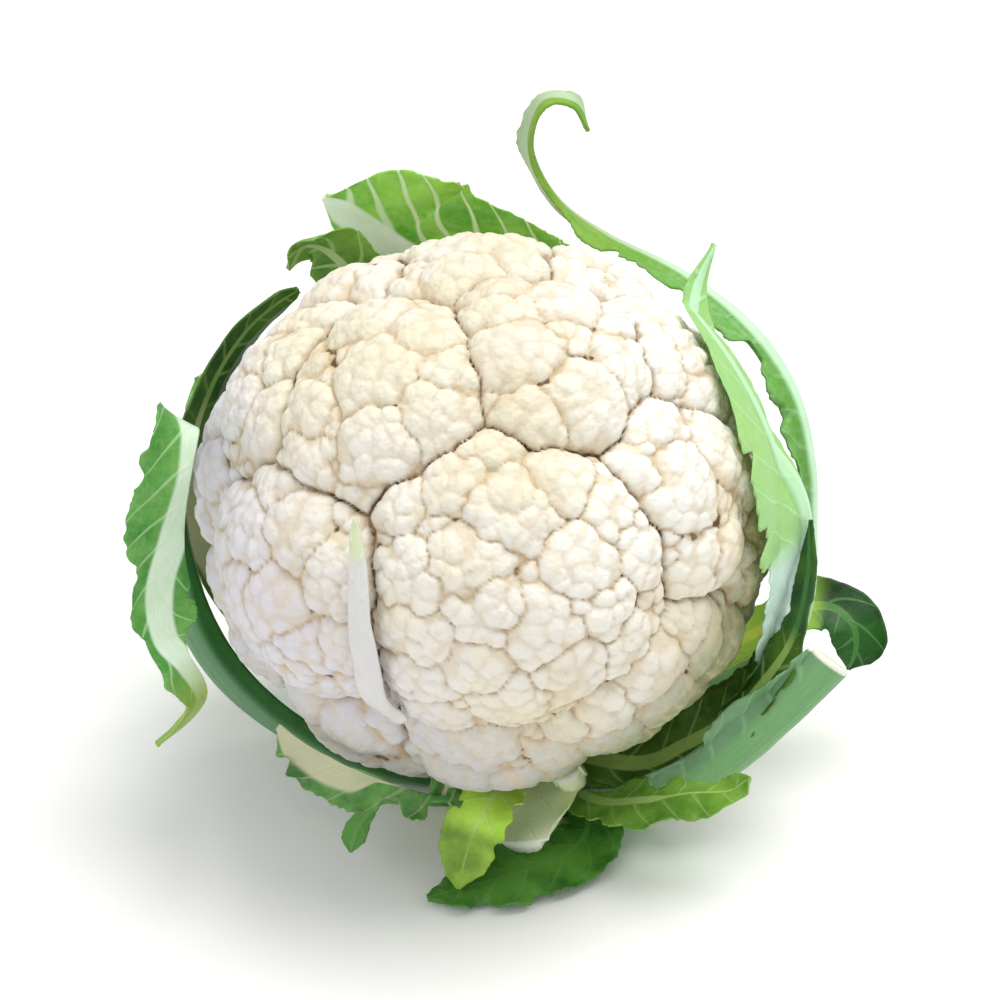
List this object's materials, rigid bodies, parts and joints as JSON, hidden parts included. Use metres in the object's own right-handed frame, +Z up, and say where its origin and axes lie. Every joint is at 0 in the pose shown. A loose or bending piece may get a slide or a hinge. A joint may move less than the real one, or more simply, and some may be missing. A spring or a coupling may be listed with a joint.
{
  "type": "cauliflower",
  "caption": "Fresh head of cauliflower standing on its cut stem: knobbly cream curd in a ring of torn and trimmed green leaves.",
  "frame": {"origin": "centre of the flat cut face under the stem, which the head stands on", "axes": "+Z up along the stem towards the curd; -Y towards the front, where the long white bract shows; +X to the right"},
  "size_m": [0.2244, 0.1905, 0.2008],
  "materials": {
    "curd": "dry, finely grained curd, cream",
    "stem": "firm pale green stem, dull",
    "bract": "thin white leaf, satin",
    "leaf_green": "waxy dark green leaf, satin",
    "leaf_pale": "waxy pale green leaf with a bloom, satin",
    "leaf_yellow": "yellow-green leaf, satin"
  },
  "bodies": {
    "root": {"bract": "bract", "curd": "curd", "leaf_back_1": "leaf_pale", "leaf_back_2": "leaf_pale", "leaf_back_3": "leaf_pale", "leaf_back_4": "leaf_pale", "leaf_back_small": "leaf_green", "leaf_back_top": "leaf_green", "leaf_left_folded": "leaf_pale", "leaf_left_upper": "leaf_green", "leaf_low_front": "leaf_green", "leaf_low_left": "leaf_pale", "leaf_low_right": "leaf_green", "leaf_low_tail": "leaf_green", "leaf_low_yellow": "leaf_yellow", "leaf_right_blade": "leaf_green", "leaf_right_cut": "leaf_pale", "leaf_right_far": "leaf_green", "leaf_right_inner": "leaf_pale", "leaf_right_outer": "leaf_pale", "stem": "stem", "stub_front": "stem", "stub_front_small": "stem"}
  },
  "joints": []
}
